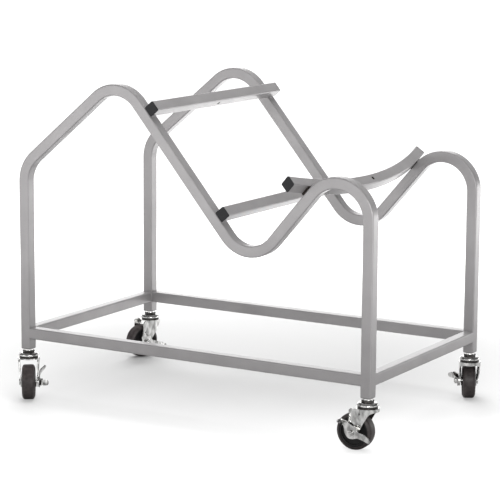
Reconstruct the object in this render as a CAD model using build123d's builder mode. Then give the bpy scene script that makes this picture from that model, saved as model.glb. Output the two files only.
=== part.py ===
from build123d import *
import os
from math import asin, cos, degrees, radians, sin, sqrt, tan

# Chair trolley: two bent tube side frames on a welded base, three cross bars and four braked swivel casters.
# X runs along the trolley, Y across it and Z up. The origin is on the floor, under the middle of the base.
# The front is the side at -Y. The tall peak of the side frames is at the left, -X.

# Square steel tube of the frames, rails and bars
tube = 25.0
tube_wall = 1.5
tube_chamfer = 1.8

# Side frame: level runs between the corners of its centre line, and the slopes that join them
peak_run = 257.5
valley_run = 333.0
arch_run = 284.5
shoulder_rise = 384.0
first_slope = 40.0
fall_slope = 50.0
second_slope = 49.5
bend_radius = 75.0
frame_width = 530.0
rail_lift = 38.0

# Cross bars: distances along the slopes that carry them
upper_bar_drop = 107.0
lower_bar_rise = 131.0
curved_bar_drop = 7.0
curved_bar_radius = 1050.0
curved_bar_reach = 304.0
seat_gap = 0.05
drain_hole = 6.0

# Plastic end caps of the bars
cap_flange = 3.0
cap_bevel = 0.8
cap_plug = 14.0
cap_wall = 2.0
cap_clearance = 0.25

# Threaded plugs in the leg ends
plug_plate = 5.0
plug_bevel = 2.5
plug_boss = 20.0
plug_clearance = 0.2

# Caster stem, turned from hexagon bar and riveted under the fork
stem_diameter = 12.0
stem_length = 24.0
stem_fit = 0.05
hex_flats = 24.0
hex_height = 8.3
rivet_diameter = 26.0
rivet_height = 3.5

# Raceway cap: it closes over the swivel bearing, above the raised seat of the fork
raceway_diameter = 46.0
raceway_height = 8.2
raceway_bevel = 3.0
race_gap = 0.3
rivet_gap = 0.2
swivel_fit = 0.08

# Wheel
wheel_diameter = 80.0
wheel_width = 30.0
tread_width = 22.0
tyre_thickness = 7.0
rim_inset = 1.5
rim_thickness = 4.0
web_depth = 7.0
hub_diameter = 20.0
hub_gap = 0.4

# Fork, pressed from sheet steel: a round crown with two flat legs that trail behind the kingpin
trail = 26.0
fork_sheet = 2.5
tyre_side_gap = 1.0
leg_flare = 4.0
leg_boss = 12.0
crown_plate = 3.0
crown_gap = 9.5
crown_radius = 25.5
crown_rear = 33.0
crown_corner = 4.0
crown_skirt = 7.5
race_seat_diameter = 43.0
race_seat_height = 3.2
knee_offset = 9.0
knee_drop = 9.0
knee_round = 3.0

# Axle bolt and nut
axle_diameter = 8.0
axle_fit = 0.1
hex_across = 13.0
bolt_head = 2.5
nut_height = 6.5
nut_gap = 0.1
thread_end = 1.5

# Brake lever: a rocker plate on the axle, with two foot tabs bent outwards
lever_sheet = 2.0
lever_hub = 30.0
lever_gap = 0.2
rear_arm_angle = 55.0
rear_arm_length = 24.0
rear_tab_bend = 60.0
front_arm_angle = 197.0
front_arm_length = 30.0
front_arm_root = 18.0
front_tab_bend = 37.0
tab_width = 13.0
tab_length = 24.0
tab_corner = 5.0
lever_throw = 46.0

# Swivel angle of each caster's trailing side, from +X towards +Y, and whether its brake is set
caster_state = {
    "front_left": (-1, -1, 305.0, False),
    "front_right": (1, -1, 183.0, True),
    "back_left": (-1, 1, 248.0, True),
    "back_right": (1, 1, 117.0, False),
}

# Heights, from the floor up
wheel_radius = wheel_diameter / 2
crown_under = wheel_diameter + crown_gap
crown_top = crown_under + crown_plate
race_seat_top = crown_top + race_seat_height
raceway_bottom = race_seat_top + race_gap
raceway_top = raceway_bottom + raceway_height
foot_z = raceway_top + hex_height
tube_end_z = foot_z + plug_plate
rail_z = foot_z + rail_lift

# Plan of the frame
leg_x = (peak_run + valley_run + arch_run) / 2
side_y = frame_width / 2 - tube / 2
leg_points = [(x * leg_x, y * side_y) for x, y, _, _ in caster_state.values()]

# Bore of the tube
tube_bore = tube - 2 * tube_wall

# Corners of the side frame's centre line, as X and Z
shoulder = (-leg_x, rail_z + shoulder_rise)
peak = (shoulder[0] + peak_run, shoulder[1] + peak_run * tan(radians(first_slope)))
valley = (peak[0] + valley_run, peak[1] - valley_run * tan(radians(fall_slope)))
arch = (leg_x, valley[1] + arch_run * tan(radians(second_slope)))
frame_corners = [(-leg_x, tube_end_z), shoulder, peak, valley, arch, (leg_x, tube_end_z)]

# Directions along the fall and the second slope, and square to their upper faces
fall_along = Vector(cos(radians(fall_slope)), 0, -sin(radians(fall_slope)))
fall_normal = Vector(sin(radians(fall_slope)), 0, cos(radians(fall_slope)))
rise_along = Vector(cos(radians(second_slope)), 0, sin(radians(second_slope)))
rise_normal = Vector(-sin(radians(second_slope)), 0, cos(radians(second_slope)))

os.makedirs("parts", exist_ok=True)

# Side frames: one tube each, bent four times to the same radius
for name, y in (("side_frame_front", -side_y), ("side_frame_back", side_y)):
    with BuildPart() as side_frame:
        with BuildLine(Plane.XZ.offset(-y)):
            FilletPolyline(*frame_corners, radius=bend_radius)
        with BuildSketch(Plane.XY.offset(tube_end_z)) as section:
            with Locations((-leg_x, y)):
                Rectangle(tube, tube)
                chamfer(section.vertices(), tube_chamfer)
                Rectangle(tube_bore, tube_bore, mode=Mode.SUBTRACT)
        sweep()
    side_frame.part.label = name
    export_step(side_frame.part, f"parts/{name}.step")

# Base rails: straight tubes butted between the legs
long_rail = 2 * leg_x - tube
end_rail = 2 * side_y - tube
rails = {
    "base_rail_front": (Plane(origin=(-long_rail / 2, -side_y, rail_z), z_dir=(1, 0, 0)), long_rail),
    "base_rail_back": (Plane(origin=(-long_rail / 2, side_y, rail_z), z_dir=(1, 0, 0)), long_rail),
    "base_rail_left": (Plane(origin=(-leg_x, -end_rail / 2, rail_z), z_dir=(0, 1, 0)), end_rail),
    "base_rail_right": (Plane(origin=(leg_x, -end_rail / 2, rail_z), z_dir=(0, 1, 0)), end_rail),
}
for name, (plane, length) in rails.items():
    with BuildPart() as rail:
        with BuildSketch(plane) as section:
            Rectangle(tube, tube)
            chamfer(section.vertices(), tube_chamfer)
            Rectangle(tube_bore, tube_bore, mode=Mode.SUBTRACT)
        extrude(amount=length)
    rail.part.label = name
    export_step(rail.part, f"parts/{name}.step")

# End cap of a bar: a bevelled flange over a hollow square plug
plug_width = tube_bore - 2 * cap_clearance
plug_bore = plug_width - 2 * cap_wall
with BuildPart() as bar_cap:
    with BuildSketch() as section:
        Rectangle(tube, tube)
        chamfer(section.vertices(), tube_chamfer)
    extrude(amount=cap_flange)
    chamfer(bar_cap.faces().sort_by(Axis.Z)[-1].edges(), cap_bevel)
    with BuildSketch():
        Rectangle(plug_width, plug_width)
        Rectangle(plug_bore, plug_bore, mode=Mode.SUBTRACT)
    extrude(amount=-cap_plug)

# Straight bars: they lie on the fall of both side frames, flush with their outer sides
fall_length = valley_run / cos(radians(fall_slope))
bar_half = frame_width / 2 - cap_flange
straight_bars = {"upper_bar": upper_bar_drop, "lower_bar": fall_length - lower_bar_rise}
for name, along in straight_bars.items():
    middle = Vector(peak[0], 0, peak[1]) + fall_along * along + fall_normal * tube
    front_end = middle - Vector(0, bar_half, 0)
    back_end = middle + Vector(0, bar_half, 0)
    with BuildPart() as bar:
        with BuildSketch(Plane(origin=front_end, x_dir=fall_along, z_dir=(0, 1, 0))) as section:
            Rectangle(tube, tube)
            chamfer(section.vertices(), tube_chamfer)
            Rectangle(tube_bore, tube_bore, mode=Mode.SUBTRACT)
        extrude(amount=2 * bar_half)
        if name == "upper_bar":
            with BuildSketch(Plane(origin=middle, x_dir=(0, 1, 0), z_dir=fall_along)):
                Circle(drain_hole / 2)
            extrude(amount=tube, mode=Mode.SUBTRACT)
    bar.part.label = name
    export_step(bar.part, f"parts/{name}.step")
    with BuildPart() as bar_caps:
        add(bar_cap.part.moved(Plane(origin=front_end, x_dir=fall_along, z_dir=(0, -1, 0)).location))
        add(bar_cap.part.moved(Plane(origin=back_end, x_dir=fall_along, z_dir=(0, 1, 0)).location))
    bar_caps.part.label = f"{name}_caps"
    export_step(bar_caps.part, f"parts/{name}_caps.step")

# Curved bar: bent upwards at both ends, it bears on the inner upper corners of the side frames
rise_length = arch_run / cos(radians(second_slope))
arch_tangent = bend_radius * tan(radians(90 + second_slope) / 2)
bar_seat = Vector(valley[0], 0, valley[1]) + rise_along * (rise_length - arch_tangent - curved_bar_drop)
bearing_y = side_y - tube / 2 + tube_chamfer
bearing_radius = curved_bar_radius + tube / 2 + seat_gap
bend_height = tube / 2 + sqrt(bearing_radius**2 - bearing_y**2)
bend_centre = bar_seat + rise_normal * bend_height
bar_turn = asin((curved_bar_reach - cap_flange) / curved_bar_radius)
inward = Vector(0, 1, 0) * cos(bar_turn) - rise_normal * sin(bar_turn)
outward = Vector(0, 1, 0) * cos(bar_turn) + rise_normal * sin(bar_turn)
front_end = bend_centre - (Vector(0, 1, 0) * sin(bar_turn) + rise_normal * cos(bar_turn)) * curved_bar_radius
back_end = bend_centre + (Vector(0, 1, 0) * sin(bar_turn) - rise_normal * cos(bar_turn)) * curved_bar_radius
with BuildPart() as curved_bar:
    with BuildSketch(Plane(origin=front_end, x_dir=rise_along, z_dir=inward)) as section:
        Rectangle(tube, tube)
        chamfer(section.vertices(), tube_chamfer)
        Rectangle(tube_bore, tube_bore, mode=Mode.SUBTRACT)
    revolve(axis=Axis(bend_centre, rise_along), revolution_arc=2 * degrees(bar_turn))
    lowest = bend_centre - rise_normal * curved_bar_radius
    with BuildSketch(Plane(origin=lowest, x_dir=(0, 1, 0), z_dir=rise_along)):
        Circle(drain_hole / 2)
    extrude(amount=tube, mode=Mode.SUBTRACT)
curved_bar.part.label = "curved_bar"
export_step(curved_bar.part, "parts/curved_bar.step")
with BuildPart() as curved_bar_caps:
    add(bar_cap.part.moved(Plane(origin=front_end, x_dir=rise_along, z_dir=-inward).location))
    add(bar_cap.part.moved(Plane(origin=back_end, x_dir=rise_along, z_dir=outward).location))
curved_bar_caps.part.label = "curved_bar_caps"
export_step(curved_bar_caps.part, "parts/curved_bar_caps.step")

# Leg plug: a bevelled end plate with a threaded square boss inside the tube
boss_width = tube_bore - 2 * plug_clearance
with BuildPart() as leg_plug:
    with BuildSketch() as section:
        Rectangle(tube, tube)
        chamfer(section.vertices(), tube_chamfer)
    extrude(amount=plug_plate)
    chamfer(leg_plug.faces().sort_by(Axis.Z)[0].edges(), plug_bevel)
    with BuildSketch(Plane.XY.offset(plug_plate)):
        Rectangle(boss_width, boss_width)
    extrude(amount=plug_boss)
    with BuildSketch():
        Circle(stem_diameter / 2 + stem_fit)
    extrude(amount=plug_plate + plug_boss, mode=Mode.SUBTRACT)
with BuildPart() as leg_plugs:
    with Locations(*[(x, y, foot_z) for x, y in leg_points]):
        add(leg_plug.part)
leg_plugs.part.label = "leg_plugs"
export_step(leg_plugs.part, "parts/leg_plugs.step")

# Caster stem: thread, hexagon collar, kingpin and riveted head in one piece
rivet_top = crown_under + race_seat_height - rivet_gap
with BuildPart() as caster_stem:
    with BuildSketch(Plane.XY.offset(rivet_top)):
        Circle(stem_diameter / 2)
    extrude(amount=foot_z + stem_length - rivet_top)
    with BuildSketch(Plane.XY.offset(rivet_top)):
        Circle(rivet_diameter / 2)
    extrude(amount=-rivet_height)
    with BuildSketch(Plane.XY.offset(raceway_top)):
        RegularPolygon(hex_flats / 2, 6, major_radius=False)
    extrude(amount=hex_height)
with BuildPart() as caster_stems:
    with Locations(*leg_points):
        add(caster_stem.part)
caster_stems.part.label = "caster_stems"
export_step(caster_stems.part, "parts/caster_stems.step")

# Raceway cap: a bevelled cover between the hexagon and the fork
cap_radius = raceway_diameter / 2
with BuildPart() as raceway_cap:
    with BuildSketch(Plane.XY.offset(raceway_bottom)):
        Circle(cap_radius)
        Circle(stem_diameter / 2 + stem_fit, mode=Mode.SUBTRACT)
    extrude(amount=raceway_height)
    chamfer(raceway_cap.faces().sort_by(Axis.Z)[-1].edges().sort_by(SortBy.RADIUS)[-1], raceway_bevel)
with BuildPart() as raceway_caps:
    with Locations(*leg_points):
        add(raceway_cap.part)
raceway_caps.part.label = "raceway_caps"
export_step(raceway_caps.part, "parts/raceway_caps.step")

# One caster, with its kingpin on Z, its wheel trailing towards +X and its brake on the +Y side
axle_plane = Plane(origin=(trail, 0, wheel_radius))
axle_axis = Axis((trail, 0, wheel_radius), (0, 1, 0))
fork_inside = wheel_width / 2 + tyre_side_gap
fork_outside = fork_inside + fork_sheet
fork_rear = trail + leg_boss
fork_low = wheel_radius - leg_boss
leg_taper = leg_flare / (crown_top - wheel_radius)

# Fork: a tapered shell open below and behind, with its legs cut to a swept outline and a raised race seat
with BuildPart() as fork:
    for inset, top, mode in ((0.0, crown_top, Mode.ADD), (fork_sheet, crown_under, Mode.SUBTRACT)):
        narrowing = leg_taper * (top - fork_low)
        round_top = crown_radius - leg_taper * (crown_top - top) - inset
        flat_top = fork_outside + leg_taper * (top - wheel_radius) - inset
        with BuildSketch(Plane.XZ):
            with BuildLine():
                Polyline(
                    (0, fork_low),
                    (round_top - narrowing, fork_low),
                    (round_top, top),
                    (0, top),
                    close=True,
                )
            make_face()
        revolve(axis=Axis.Z, mode=mode)
        with BuildSketch(Plane.YZ):
            with BuildLine():
                Polyline(
                    (narrowing - flat_top, fork_low),
                    (flat_top - narrowing, fork_low),
                    (flat_top, top),
                    (-flat_top, top),
                    close=True,
                )
            make_face()
        extrude(amount=fork_rear, mode=mode)
    with BuildSketch(Plane.XZ):
        with BuildLine():
            lip = (-crown_radius, crown_top - crown_skirt)
            knee = (-knee_offset, lip[1] - knee_drop)
            knee_middle = ((lip[0] + knee[0]) / 2 + knee_round / 2, (lip[1] + knee[1]) / 2 + knee_round)
            boss_front = (trail - leg_boss, wheel_radius)
            boss_rear = (fork_rear, wheel_radius)
            Line(boss_front, knee)
            ThreePointArc(knee, knee_middle, lip)
            Polyline(
                lip,
                (lip[0], crown_top),
                (crown_rear - crown_corner, crown_top),
                (crown_rear, crown_top - crown_corner),
                boss_rear,
            )
            ThreePointArc(boss_rear, (trail, fork_low), boss_front)
        make_face()
    extrude(amount=crown_radius, both=True, mode=Mode.INTERSECT)
    with BuildSketch(Plane.XZ):
        with Locations((trail, wheel_radius)):
            Circle(axle_diameter / 2 + axle_fit)
    extrude(amount=crown_radius, both=True, mode=Mode.SUBTRACT)
    with BuildSketch(Plane.XY.offset(crown_under)):
        with Locations((fork_rear / 2, 0)):
            Rectangle(fork_rear, 2 * fork_inside + 2 * leg_taper * (crown_under - wheel_radius))
        Circle(crown_radius, mode=Mode.SUBTRACT)
    extrude(amount=crown_plate, mode=Mode.SUBTRACT)
    with BuildSketch(Plane.XY.offset(crown_under)):
        Circle(race_seat_diameter / 2)
    extrude(amount=crown_plate + race_seat_height)
    with BuildSketch(Plane.XY.offset(crown_under)):
        Circle(race_seat_diameter / 2 - fork_sheet)
    extrude(amount=race_seat_height, mode=Mode.SUBTRACT)
    with BuildSketch(Plane.XY.offset(crown_under)):
        Circle(stem_diameter / 2 + swivel_fit)
    extrude(amount=crown_plate + race_seat_height, mode=Mode.SUBTRACT)

# Axle bolt, with its low head on the plain side of the fork
lever_seat = fork_outside + leg_taper * lever_hub / 2 + lever_gap
lever_in = crown_radius - leg_taper * (crown_top - wheel_radius) / 2 + lever_gap
lever_out = lever_in + lever_sheet
nut_in = lever_out + nut_gap
bolt_seat = fork_outside + leg_taper * hex_across / sqrt(3) + nut_gap
with BuildPart() as axle_bolt:
    with BuildSketch(Plane(origin=(trail, -bolt_seat, wheel_radius), z_dir=(0, -1, 0))):
        RegularPolygon(hex_across / 2, 6, major_radius=False)
    extrude(amount=bolt_head)
    with BuildSketch(Plane(origin=(trail, -bolt_seat, wheel_radius), z_dir=(0, 1, 0))):
        Circle(axle_diameter / 2)
    extrude(amount=bolt_seat + nut_in + nut_height + thread_end)

# Axle nut, over the brake lever
with BuildPart() as axle_nut:
    with BuildSketch(Plane(origin=(trail, nut_in, wheel_radius), z_dir=(0, 1, 0))):
        RegularPolygon(hex_across / 2, 6, major_radius=False)
        Circle(axle_diameter / 2 + stem_fit, mode=Mode.SUBTRACT)
    extrude(amount=nut_height)

# Wheel core: a rim, a dished web and a hub that runs on the bolt
rim_radius = wheel_radius - tyre_thickness
rim_half = wheel_width / 2 - rim_inset
rim_bore = rim_radius - rim_thickness
web_half = rim_half - web_depth
hub_radius = hub_diameter / 2
hub_half = fork_inside - leg_taper * hub_radius - hub_gap
bore_radius = axle_diameter / 2 + axle_fit
with BuildPart() as wheel_core:
    with BuildSketch(axle_plane):
        with BuildLine():
            Polyline(
                (bore_radius, -hub_half),
                (hub_radius, -hub_half),
                (hub_radius, -web_half),
                (rim_bore, -web_half),
                (rim_bore, -rim_half),
                (rim_radius, -rim_half),
                (rim_radius, rim_half),
                (rim_bore, rim_half),
                (rim_bore, web_half),
                (hub_radius, web_half),
                (hub_radius, hub_half),
                (bore_radius, hub_half),
                close=True,
            )
        make_face()
    revolve(axis=axle_axis)

# Tyre: a rubber band with bevelled shoulders on the rim
with BuildPart() as tyre:
    with BuildSketch(axle_plane):
        with BuildLine():
            Polyline(
                (rim_radius, -wheel_width / 2),
                (rim_radius, wheel_width / 2),
                (wheel_radius, tread_width / 2),
                (wheel_radius, -tread_width / 2),
                close=True,
            )
        make_face()
    revolve(axis=axle_axis)

# Brake lever, in its set position: a broad hub, two narrowing arms and their bent tabs
lever_arms = (
    (rear_arm_angle, rear_arm_length, lever_hub, radians(rear_tab_bend)),
    (front_arm_angle, front_arm_length, front_arm_root, radians(front_tab_bend)),
)
pivot = Vector(trail, lever_in, wheel_radius)
lever_plane = Plane(origin=(trail, lever_seat, wheel_radius), z_dir=(0, 1, 0))
with BuildPart() as brake_lever:
    for angle, arm_length, arm_root, bend in lever_arms:
        tab_rise = tab_length * sin(bend)
        tab_reach = arm_length + tab_length * cos(bend)
        inner_bend = arm_length - lever_sheet * tan(bend / 2)
        radial = Vector(cos(radians(angle)), 0, sin(radians(angle)))
        across = Vector(-sin(radians(angle)), 0, cos(radians(angle)))
        with BuildSketch(Plane(origin=pivot, x_dir=radial, z_dir=across)):
            with BuildLine():
                Polyline(
                    (0, 0),
                    (arm_length, 0),
                    (tab_reach, tab_rise),
                    (tab_reach - lever_sheet * sin(bend), tab_rise + lever_sheet * cos(bend)),
                    (inner_bend, lever_sheet),
                    (0, lever_sheet),
                    close=True,
                )
            make_face()
        extrude(amount=tab_width / 2, both=True)
        tip = pivot + radial * tab_reach + Vector(0, tab_rise, 0)
        tip_edges = brake_lever.edges().filter_by(lambda e: abs(e.length - lever_sheet) < 1e-6)
        fillet(tip_edges.sort_by_distance(tip)[0:2], tab_corner)
        with BuildSketch(Plane(origin=pivot, x_dir=radial, z_dir=(0, 1, 0))):
            with BuildLine():
                Polyline(
                    (0, -arm_root / 2),
                    (inner_bend, -tab_width / 2),
                    (inner_bend, tab_width / 2),
                    (0, arm_root / 2),
                    close=True,
                )
            make_face()
        extrude(amount=lever_sheet)
    with BuildSketch(lever_plane):
        Circle(lever_hub / 2)
    extrude(amount=lever_out - lever_seat)
    with BuildSketch(lever_plane):
        Circle(axle_diameter / 2 + axle_fit)
    extrude(amount=lever_out - lever_seat, mode=Mode.SUBTRACT)

# The four casters: each is turned about its stem, and a released lever about its axle
for corner, (side_x, front_y, swivel_angle, brake_set) in caster_state.items():
    stand = Location((side_x * leg_x, front_y * side_y, 0), (0, 0, swivel_angle))
    lever_turn = 0.0 if brake_set else lever_throw
    pieces = {
        "fork": fork.part,
        "axle_bolt": axle_bolt.part,
        "axle_nut": axle_nut.part,
        "wheel_core": wheel_core.part,
        "tyre": tyre.part,
        "brake_lever": brake_lever.part.rotate(axle_axis, lever_turn),
    }
    for piece_name, piece in pieces.items():
        placed = piece.moved(stand)
        placed.label = f"{corner}_{piece_name}"
        export_step(placed, f"parts/{corner}_{piece_name}.step")
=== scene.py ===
import math

import bmesh
import bpy
from mathutils import Matrix, Vector


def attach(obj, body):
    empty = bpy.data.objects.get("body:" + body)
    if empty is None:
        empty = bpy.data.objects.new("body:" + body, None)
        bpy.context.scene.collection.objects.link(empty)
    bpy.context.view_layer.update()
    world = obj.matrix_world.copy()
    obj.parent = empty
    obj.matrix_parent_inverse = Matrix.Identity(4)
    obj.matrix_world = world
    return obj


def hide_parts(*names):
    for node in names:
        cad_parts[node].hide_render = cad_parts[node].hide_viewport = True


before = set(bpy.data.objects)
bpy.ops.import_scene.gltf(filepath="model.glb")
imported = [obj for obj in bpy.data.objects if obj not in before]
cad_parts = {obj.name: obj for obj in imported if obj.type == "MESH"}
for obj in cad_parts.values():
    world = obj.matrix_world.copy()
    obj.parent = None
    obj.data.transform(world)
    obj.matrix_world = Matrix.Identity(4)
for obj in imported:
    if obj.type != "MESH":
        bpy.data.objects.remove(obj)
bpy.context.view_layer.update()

# Side frames
# Each is one square steel tube, bent cold to one radius at the shoulder, the peak, the valley and the arch.
# The welded frame is shot-blasted and powder coated in a satin silver grey.
tube = 0.025
corner_round = 0.003
leg_x = 0.4375
side_y = 0.2525
tube_end_z = 0.1175
bend_radius = 0.075
bend_step = 3
shoulder = Vector((-leg_x, 0, 0.5345))
peak = Vector((-0.18, 0, 0.750568))
valley = Vector((0.153, 0, 0.353714))
arch = Vector((leg_x, 0, 0.686824))

# The coat varies softly in tone, with fine metal flake and a slight orange peel.
silver_paint = bpy.data.materials.new("silver_paint")
silver_paint.use_nodes = True
nodes = silver_paint.node_tree.nodes
links = silver_paint.node_tree.links
coat = nodes["Principled BSDF"]
coat.inputs["Metallic"].default_value = 0.5
coat.inputs["Coat Weight"].default_value = 0.5
coat.inputs["Coat Roughness"].default_value = 0.17
place = nodes.new("ShaderNodeTexCoord")
cloud = nodes.new("ShaderNodeTexNoise")
cloud.inputs["Scale"].default_value = 14.0
cloud.inputs["Detail"].default_value = 5.0
flake = nodes.new("ShaderNodeTexNoise")
flake.inputs["Scale"].default_value = 1100.0
flake.inputs["Detail"].default_value = 2.0
tone = nodes.new("ShaderNodeMath")
tone.operation = "MULTIPLY_ADD"
tone.inputs[1].default_value = 0.45
shade = nodes.new("ShaderNodeValToRGB")
shade.color_ramp.elements[0].position = 0.3
shade.color_ramp.elements[0].color = (0.252, 0.243, 0.246, 1)
shade.color_ramp.elements[1].position = 0.95
shade.color_ramp.elements[1].color = (0.318, 0.308, 0.311, 1)
gloss = nodes.new("ShaderNodeMapRange")
gloss.inputs["To Min"].default_value = 0.36
gloss.inputs["To Max"].default_value = 0.5
peel = nodes.new("ShaderNodeBump")
peel.inputs["Strength"].default_value = 0.12
peel.inputs["Distance"].default_value = 0.0003
links.new(place.outputs["Object"], cloud.inputs["Vector"])
links.new(place.outputs["Object"], flake.inputs["Vector"])
links.new(flake.outputs["Fac"], tone.inputs[0])
links.new(cloud.outputs["Fac"], tone.inputs[2])
links.new(tone.outputs["Value"], shade.inputs["Fac"])
links.new(shade.outputs["Color"], coat.inputs["Base Color"])
links.new(flake.outputs["Fac"], gloss.inputs["Value"])
links.new(gloss.outputs["Result"], coat.inputs["Roughness"])
links.new(flake.outputs["Fac"], peel.inputs["Height"])
links.new(peel.outputs["Normal"], coat.inputs["Normal"])


def start_tube(bm, stand):
    """A closed square end with rounded corners, in the stand's XY plane. Its edges are returned."""
    made = bmesh.ops.create_circle(bm, cap_ends=True, segments=4, radius=tube / math.sqrt(2))
    bmesh.ops.rotate(bm, verts=made["verts"], cent=(0, 0, 0), matrix=Matrix.Rotation(math.pi / 4, 3, "Z"))
    made = bmesh.ops.bevel(
        bm, geom=made["verts"], offset=corner_round, offset_type="OFFSET", affect="VERTICES",
        segments=5, profile=0.5, material=-1, clamp_overlap=True,
    )
    face = made["verts"][0].link_faces[0]
    bmesh.ops.transform(bm, verts=face.verts[:], matrix=stand)
    return face.edges[:]


def run_tube(bm, ring, step):
    """A straight run from the last ring of edges."""
    made = bmesh.ops.extrude_edge_only(bm, edges=ring)["geom"]
    verts = [g for g in made if isinstance(g, bmesh.types.BMVert)]
    bmesh.ops.translate(bm, verts=verts, vec=step)
    fresh = set(verts)
    return [g for g in made if isinstance(g, bmesh.types.BMEdge) and fresh.issuperset(g.verts)]


def bend_tube(bm, ring, centre, axis, turn, steps):
    """A bend from the last ring of edges, about an axis through the centre."""
    made = bmesh.ops.spin(bm, geom=ring, cent=centre, axis=axis, angle=turn, steps=steps)
    return [g for g in made["geom_last"] if isinstance(g, bmesh.types.BMEdge)]


def set_piece(bm, name, body, finish, stands_for=(), crease=40):
    """Makes the finished object, with its finish, its body and the nodes that it stands for."""
    bmesh.ops.remove_doubles(bm, verts=bm.verts[:], dist=1e-7)
    bmesh.ops.recalc_face_normals(bm, faces=bm.faces[:])
    mesh = bpy.data.meshes.new(name)
    bm.to_mesh(mesh)
    bm.free()
    mesh.shade_smooth()
    mesh.set_sharp_from_angle(angle=math.radians(crease))
    mesh.materials.append(finish)
    piece = bpy.data.objects.new(name, mesh)
    bpy.context.scene.collection.objects.link(piece)
    even = piece.modifiers.new("even_normals", "WEIGHTED_NORMAL")
    even.keep_sharp = True
    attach(piece, body)
    if stands_for:
        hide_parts(*stands_for)
    return piece


corners = [shoulder, peak, valley, arch]
for name, y in (("side_tube_front", -side_y), ("side_tube_back", side_y)):
    bm = bmesh.new()
    here = Vector((-leg_x, y, tube_end_z))
    ring = start_tube(bm, Matrix.Translation(here))
    going = Vector((0, 0, 1))
    after = corners[1:] + [Vector((leg_x, 0, tube_end_z))]
    for corner, following in zip(corners, after):
        corner = Vector((corner.x, y, corner.z))
        leaving = (Vector((following.x, y, following.z)) - corner).normalized()
        turn = math.atan2(going.cross(leaving).y, going.dot(leaving))
        bend_start = corner - going * bend_radius * math.tan(abs(turn) / 2)
        ring = run_tube(bm, ring, bend_start - here)
        inward = Vector((0, math.copysign(1, turn), 0)).cross(going)
        centre = bend_start + inward * bend_radius
        steps = max(8, round(math.degrees(abs(turn)) / bend_step))
        ring = bend_tube(bm, ring, centre, (0, 1, 0), turn, steps)
        here = corner + leaving * bend_radius * math.tan(abs(turn) / 2)
        going = leaving
    ring = run_tube(bm, ring, Vector((leg_x, y, tube_end_z)) - here)
    bmesh.ops.contextual_create(bm, geom=ring)
    set_piece(bm, name, "frame", silver_paint, [name.replace("tube", "frame")])

# Base rails
# Four straight lengths of the same tube, butted between the legs and welded round.
# The beads are ground flush on the outer sides. Elsewhere low ripples show under the paint.
rail_z = 0.1505
long_half = leg_x - tube / 2
end_half = side_y - tube / 2
bead = 0.0017
ground_bead = 0.3 * bead
low_ripple = 0.78 * bead
bead_inset = 0.0004
bead_sink = 0.0006
along_x = Matrix.Rotation(math.pi / 2, 4, "Y")
along_y = Matrix.Rotation(-math.pi / 2, 4, "X")


def straight_tube(bm, stand, length):
    """A closed straight tube from the stand's origin along its Z."""
    ring = start_tube(bm, stand)
    ring = run_tube(bm, ring, stand.to_3x3() @ Vector((0, 0, length)))
    bmesh.ops.contextual_create(bm, geom=ring)


def weld_round(bm, stand, width, ground_side):
    """A rippled bead round a square of that width in the stand's XY plane. One side of it is ground flush."""
    per_side = 13
    rings = []
    for side in range(4):
        turn = Matrix.Rotation(side * math.pi / 2, 4, "Z")
        for i in range(per_side):
            step = (i / per_side - 0.5) * (width - 2 * corner_round) * per_side / (per_side - 1)
            size = ground_bead if side == ground_side else bead if i % 2 else low_ripple
            seat = turn @ Matrix.Translation((width / 2, step, 0)) @ Matrix.Rotation(math.pi / 2, 4, "X")
            made = bmesh.ops.create_circle(bm, segments=7, radius=size, matrix=stand @ seat)
            rings.append(list({e for v in made["verts"] for e in v.link_edges}))
    for one, other in zip(rings, rings[1:] + rings[:1]):
        bmesh.ops.bridge_loops(bm, edges=one + other)


# The stand at one end, the length, and the side of the tube that looks outwards.
rails = {
    "rail_front": (Matrix.Translation((-long_half, -side_y, rail_z)) @ along_x, 2 * long_half, 3),
    "rail_back": (Matrix.Translation((-long_half, side_y, rail_z)) @ along_x, 2 * long_half, 1),
    "rail_left": (Matrix.Translation((-leg_x, -end_half, rail_z)) @ along_y, 2 * end_half, 2),
    "rail_right": (Matrix.Translation((leg_x, -end_half, rail_z)) @ along_y, 2 * end_half, 0),
}
for name, (stand, length, outer_side) in rails.items():
    bm = bmesh.new()
    straight_tube(bm, stand @ Matrix.Translation((0, 0, -corner_round)), length + 2 * corner_round)
    set_piece(bm, name, "frame", silver_paint, ["base_" + name])
    bm = bmesh.new()
    for end in (bead_inset, length - bead_inset):
        weld_round(bm, stand @ Matrix.Translation((0, 0, end)), tube - 2 * bead_sink, outer_side)
    set_piece(bm, name + "_welds", "frame", silver_paint)

# Straight cross bars
# Two lengths of tube, welded square across the falls. With their caps they end flush with the side frames.
# The upper one has a small drain hole in the face that looks down the slope.
fall_slope = math.radians(50)
fall_along = Vector((math.cos(fall_slope), 0, -math.sin(fall_slope)))
fall_up = Vector((math.sin(fall_slope), 0, math.cos(fall_slope)))
fall_length = (valley - peak).length
bar_half = 0.262
drain_hole = 0.0076
drain_depth = 0.016
upper_drop = 0.107
lower_rise = 0.131
bar_places = {"upper_bar": upper_drop, "lower_bar": fall_length - lower_rise}
cross_way = Vector((0, 1, 0))


def axes(origin, x, y, z):
    """A stand with these three axes at the origin."""
    return Matrix.Translation(origin) @ Matrix((x, y, z)).transposed().to_4x4()


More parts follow.
